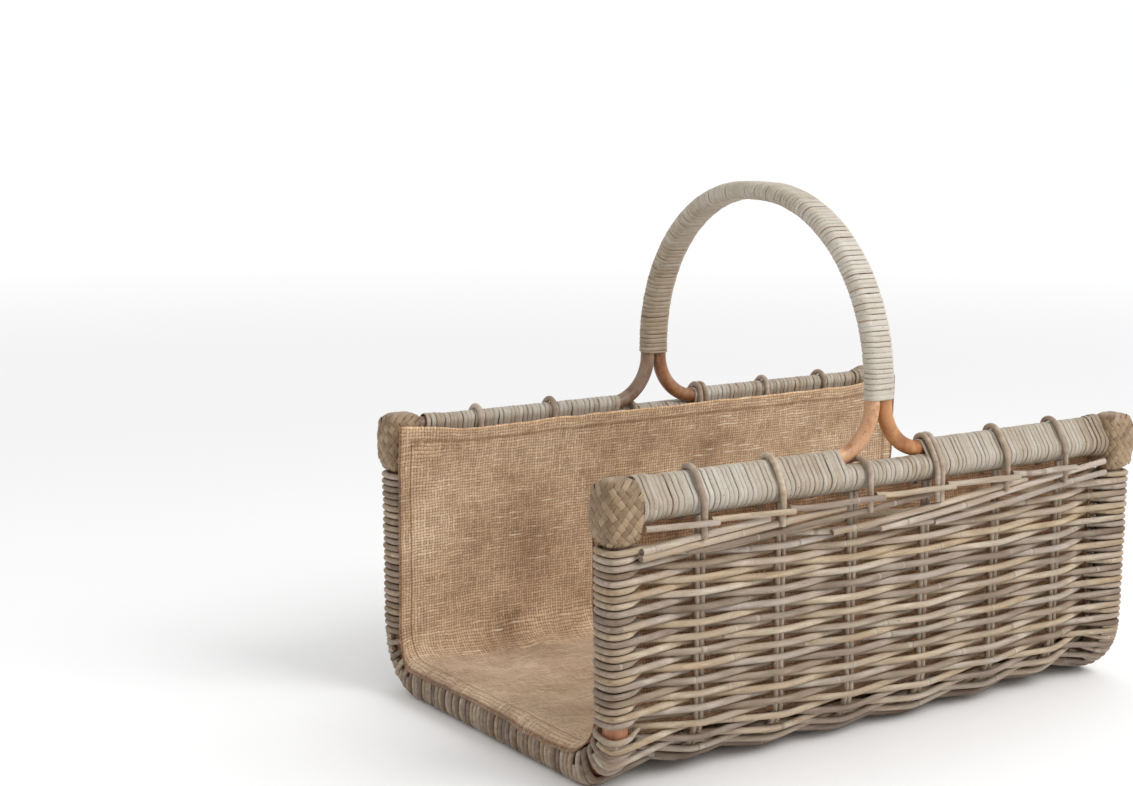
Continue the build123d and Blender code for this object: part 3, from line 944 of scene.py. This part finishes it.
shape = bmesh.new()
cloth_uv = shape.loops.layers.uv.new("UVMap")
bmesh.ops.create_grid(shape, x_segments=190, y_segments=220, size=0.5)
unrolled_at = {}
for vert in shape.verts:
    across, down = closer(2 * vert.co.x), closer(2 * vert.co.y)
    unrolled_at[vert.index] = ((across + 1) / 2, (down + 1) / 2)
    along, distance = across * half_length, (down + 1) / 2 * LINER_LENGTH
    place, inward = liner_place(distance)
    end_gap = half_length - abs(along)
    top_gap = min(distance, LINER_LENGTH - distance)
    slack = smooth_step(end_gap, 14 * MM, 70 * MM) * smooth_step(top_gap, 8 * MM, 60 * MM)
    folds = ripple(along * 7, distance * 11, 1.7)
    creases = ripple(along * 26 + distance * 14, distance * 24, 5.2)
    lift = -HANG * slack + 2.0 * folds * slack + 0.8 * creases * (0.3 + slack)
    lift += folded(along, distance) * (0.25 + 0.75 * slack)
    # the doubled hem, its seam and its rolled edge
    edge_gap = min(end_gap, top_gap)
    hem = 1 - smooth_step(edge_gap, HEM - 1.0 * MM, HEM + 0.6 * MM)
    seam = math.exp(-(((edge_gap - SEAM) / (1.1 * MM)) ** 2))
    pucker = ripple(along * 55, distance * 55, 3.4) * hem
    rolled = math.exp(-((edge_gap / (2.4 * MM)) ** 2))
    lift += 1.2 * hem - 1.1 * seam + 1.2 * rolled + 0.9 * pucker + 1.2
    wave = ripple(along * 13, distance * 13, 9.3)
    wave += 0.5 * ripple(along * 45, distance * 45, 2.3)
    level = smooth_step(inward.z, 0.0, 0.7)
    vert.co = place + inward * lift * MM - Vector((0, 0, 0.8 * SAG * level * hangs(along)))
    near_end = 1 - smooth_step(end_gap, 0, 40 * MM)
    near_top = 1 - smooth_step(top_gap, 0, 30 * MM)
    back = smooth_step(distance, 0.25 * LINER_LENGTH, 0.33 * LINER_LENGTH)
    longer = END_SHIFT * (2 * back - 1) + 1.6 * wave
    vert.co.x = along + math.copysign(near_end, along) * longer * MM
    # the ends bend down over the wraps of the hoops
    over_hoop = max(0.0, abs(vert.co.x) - HOOP_X)
    rest = math.sqrt(max(0.0, (HOOK + WEFT) ** 2 - over_hoop ** 2))
    vert.co.z -= level * max(0.0, HOOK + WEFT - rest - 0.4 * MM)
    raised_end = END_RISE * back * (1 - smooth_step(end_gap, 0, 70 * MM))
    vert.co.z += (1.4 + 1.6 * wave + raised_end - END_RISE * (1 - back)) * MM * near_top
for face in shape.faces:
    for corner in face.loops:
        corner[cloth_uv].uv = unrolled_at[corner.vert.index]
bmesh.ops.recalc_face_normals(shape, faces=shape.faces)
liner = shaped("hessian_liner_sewn", shape)
solid = liner.modifiers.new("cloth_thickness", "SOLIDIFY")
solid.thickness = CLOTH
solid.offset = 0

hessian, shader = surface("hessian_cloth", 0.9, 0.12)
shader.inputs["Sheen Weight"].default_value = 0.25
shader.inputs["Sheen Roughness"].default_value = 0.6
unrolled = node(hessian, "ShaderNodeUVMap", {}, uv_map="UVMap").outputs["UV"]
counts = (2 * half_length / THREAD, LINER_LENGTH / THREAD, 1.0)
sized = node(hessian, "ShaderNodeMapping", {"Vector": unrolled, "Scale": counts}).outputs["Vector"]


def flat_noise(vector, scale, detail, output):
    """Noise over the unrolled cloth."""
    links = {"Vector": vector, "Scale": scale, "Detail": detail}
    return node(hessian, "ShaderNodeTexNoise", links, noise_dimensions="2D").outputs[output]


wander = flat_noise(sized, 0.16, 3.0, "Color")
wander = vector_maths(hessian, "MULTIPLY_ADD", wander, (1.1, 1.1, 0.0), sized)
across_threads, down_threads, _ = apart(hessian, wander)


def thread_profile(coordinate):
    """Round profile of threads that lie side by side, one to each whole step."""
    turned = maths(hessian, "MULTIPLY", coordinate, math.pi)
    return maths(hessian, "ABSOLUTE", maths(hessian, "SINE", turned))


def slubs(stretch, running, seed):
    """Thick and thin places along each thread. running is 1 on the axis that the threads follow."""
    links = {1: running, 4: vector_maths(hessian, "FLOOR", wander), 5: wander}
    along = node(hessian, "ShaderNodeMix", links, data_type="VECTOR", factor_mode="NON_UNIFORM")
    links = {"Vector": along.outputs[1], "Scale": stretch, "Location": (seed, seed, 0.0)}
    scaled = node(hessian, "ShaderNodeMapping", links).outputs["Vector"]
    return flat_noise(scaled, 1.0, 1.0, "Fac")


warp_slub = slubs((7.3, 0.16, 1.0), (0.0, 1.0, 0.0), 3.7)
weft_slub = slubs((0.11, 7.9, 1.0), (1.0, 0.0, 0.0), 11.3)
warp = thread_profile(across_threads)
weft = thread_profile(down_threads)
steps = [maths(hessian, "FLOOR", threads) for threads in (across_threads, down_threads)]
parity = maths(hessian, "PINGPONG", maths(hessian, "ADD", *steps), 1.0)
warp_high = maths(hessian, "MULTIPLY", warp, maths(hessian, "MULTIPLY_ADD", parity, 0.5, 0.5))
weft_high = maths(hessian, "MULTIPLY", weft, maths(hessian, "MULTIPLY_ADD", parity, -0.5, 1.0))
warp_high = maths(hessian, "MULTIPLY", warp_high, maths(hessian, "MULTIPLY_ADD", warp_slub, 1.0, 0.5))
weft_high = maths(hessian, "MULTIPLY", weft_high, maths(hessian, "MULTIPLY_ADD", weft_slub, 1.0, 0.5))
height = maths(hessian, "MAXIMUM", warp_high, weft_high)
blotch = grain(hessian, unrolled, (7.0, 9.0, 1.0), (0.0, 0.0, 0.0), 5.0)
fibre = grain(hessian, sized, (0.9, 0.9, 1.0), (0.1, 0.0, 0.0), 3.0)
colour = ramp(hessian, levels(hessian, blotch, 0.3, 0.7),
              [(0.0, (0.44, 0.295, 0.175)), (0.45, (0.64, 0.465, 0.30)), (1.0, (0.82, 0.64, 0.45))])
on_top = maths(hessian, "GREATER_THAN", warp_high, weft_high)
own = node(hessian, "ShaderNodeMix", {0: on_top, 2: weft_slub, 3: warp_slub}).outputs[0]
thread_tint = ramp(hessian, levels(hessian, own, 0.3, 0.7),
                   [(0.0, (0.86, 0.84, 0.82)), (1.0, (1.12, 1.12, 1.12))])
colour = mixed(hessian, 1.0, colour, thread_tint, "MULTIPLY")
colour = tinted(hessian, levels(hessian, fibre, 0.35, 0.7), colour, (0.80, 0.74, 0.68))
# the hollows between the threads are darkened: painted shade
hollow_shade = levels(hessian, height, 0.62, 0.26)
colour = tinted(hessian, hollow_shade, colour, (0.34, 0.27, 0.22))
cluster = grain(hessian, unrolled, (4.0, 7.0, 1.0), (0.4, 0.1, 0.0), 2.0)
bright = levels(hessian, weft_slub, 0.66, 0.74)
bright = maths(hessian, "MULTIPLY", bright, levels(hessian, cluster, 0.47, 0.6))
bright = maths(hessian, "MULTIPLY", bright, levels(hessian, weft, 0.5, 0.8))
colour = mixed(hessian, bright, colour, (0.74, 0.62, 0.47, 1.0))
gaps = [
    maths(hessian, "MULTIPLY", maths(hessian, "PINGPONG", share, 0.5), size)
    for share, size in zip(apart(hessian, unrolled), (2 * half_length, LINER_LENGTH))
]
colour = tinted(hessian, levels(hessian, gaps[0], 3.2 * MM, 1.4 * MM), colour, (0.52, 0.42, 0.34))
colour = tinted(hessian, levels(hessian, gaps[1], 3.4 * MM, 1.8 * MM), colour, (1.35, 1.3, 1.22))
seam_line = maths(hessian, "COMPARE", maths(hessian, "MINIMUM", *gaps), SEAM, 0.9 * MM)
colour = tinted(hessian, seam_line, colour, (0.66, 0.58, 0.50))
link(hessian, colour, shader.inputs["Base Color"])
raised(hessian, shader, height, 0.8, 0.6 * MM)
finished(liner, hessian, "hessian", "hessian_liner")
# The cloth's outer face gets a lighter copy of the material: painted light, for the light that comes
# through the thin cloth from inside the basket.
lit_outer_face = hessian.copy()
lit_outer_face.name = "hessian_cloth_outside_lit"
shader = lit_outer_face.node_tree.nodes["Principled BSDF"]
source = shader.inputs["Base Color"].links[0].from_socket
link(lit_outer_face, tinted(lit_outer_face, 1.0, source, (1.35, 1.15, 1.05)), shader.inputs["Base Color"])
liner.data.materials.append(lit_outer_face)
solid.material_offset = 1


# ------------------------------------------------------------ liner stitches
# Short stitches of jute twine that hold the liner's top hem to the rims, two on either side of
# the handle at each wall.
twine, shader = surface("jute_twine", 0.85, 0.15)
place = object_place(twine)
ply = grain(twine, place, (900.0, 300.0, 900.0), (0.0, 0.0, 0.0))
link(twine, ramp(twine, ply, [(0.3, (0.30, 0.18, 0.09)), (0.7, (0.55, 0.38, 0.22))]),
     shader.inputs["Base Color"])
raised(twine, shader, ply, 0.5, 0.3 * MM)
routes = []
for x in (-260, -150, 150, 260):
    for side in (-1, 1):
        drop = 13 * MM if side < 0 else 7 * MM
        centre = Vector((x * MM, side * (WALL_Y - LINER_TOP_IN - 3.6 * MM), liner_high[2] - drop))
        thread = [(-6, 1.6, -2.5), (-3, -0.4, -1.6), (3, -0.6, 1.6), (6, 1.6, 2.5)]
        routes.append([centre + Vector((a, side * b, c)) * MM for a, b, c in thread])
piece = rods("liner_stitches_twine", routes, [0.8 * MM] * len(routes), 6, 3)
finished(piece, twine, "twine", "liner_stitches")


# ------------------------------------------------------------ floor, light and camera
# A plain pale studio floor that turns white far off, one broad light above, a softer one from the
# left, and a white room that is darker on the left. The camera stands at the front left corner.
FLOOR_HALF = 60.0                # half of the floor's width, in metres
WHITE_FROM, WHITE_AT = 1.0, 4.0  # it turns white between these distances
WHITE = (1.0, 1.0, 1.0, 1.0)
shape = bmesh.new()
bmesh.ops.create_grid(shape, x_segments=1, y_segments=1, size=FLOOR_HALF)
studio_floor = shaped("studio_floor", shape)
pale, shader = surface("studio_pale", 0.9, 0.1)
place = object_place(pale)
away = node(pale, "ShaderNodeVectorMath", {0: place}, operation="LENGTH").outputs["Value"]
faded = levels(pale, away, WHITE_FROM, WHITE_AT)
grey = mixed(pale, faded, (0.93, 0.93, 0.93, 1.0), (0.0, 0.0, 0.0, 1.0))
link(pale, grey, shader.inputs["Base Color"])
shader.inputs["Emission Color"].default_value = WHITE
link(pale, faded, shader.inputs["Emission Strength"])
studio_floor.data.materials.append(pale)

world = bpy.data.worlds.new("studio_room")
bpy.context.scene.world = world
world.use_nodes = True
background = world.node_tree.nodes["Background"]
background.inputs["Color"].default_value = WHITE
direction = node(world, "ShaderNodeTexCoord", {}).outputs["Generated"]
ends = {"Value": apart(world, direction)["X"], "From Min": -0.8, "From Max": 0.2, "To Min": 0.34}
strength = node(world, "ShaderNodeMapRange", ends, clamp=True).outputs["Result"]
link(world, strength, background.inputs["Strength"])


def softbox(name, place, target, size, power):
    """A square area light that faces a target."""
    light = bpy.data.lights.new(name, "AREA")
    light.size = size
    light.energy = power
    lamp = in_scene(name, light)
    lamp.location = place
    lamp.rotation_euler = (Vector(target) - Vector(place)).to_track_quat("-Z", "Y").to_euler()


softbox("softbox_top", (0.9, -1.7, 2.0), (0, 0, 0.15), 1.4, 36)
softbox("softbox_left", (-2.0, 0.4, 1.4), (0, 0, 0.05), 1.2, 8)

CAMERA_PLACE = (-1.0516, -1.3226, 0.5338)
YAW, PITCH, ROLL = 0.6681, 0.2060, 0.0194
view = bpy.data.cameras.new("studio_camera")
view.sensor_width = 36.0
view.lens = 62.868138
view.shift_x = -0.16637246
view.shift_y = 0.07855252
camera = in_scene("studio_camera", view)
camera.matrix_world = (
    Matrix.Translation(CAMERA_PLACE)
    @ Matrix.Rotation(-YAW, 4, "Z")
    @ Matrix.Rotation(math.pi / 2 - PITCH, 4, "X")
    @ Matrix.Rotation(ROLL, 4, "Z")
)
bpy.context.scene.camera = camera
bpy.context.scene.view_settings.view_transform = "Standard"
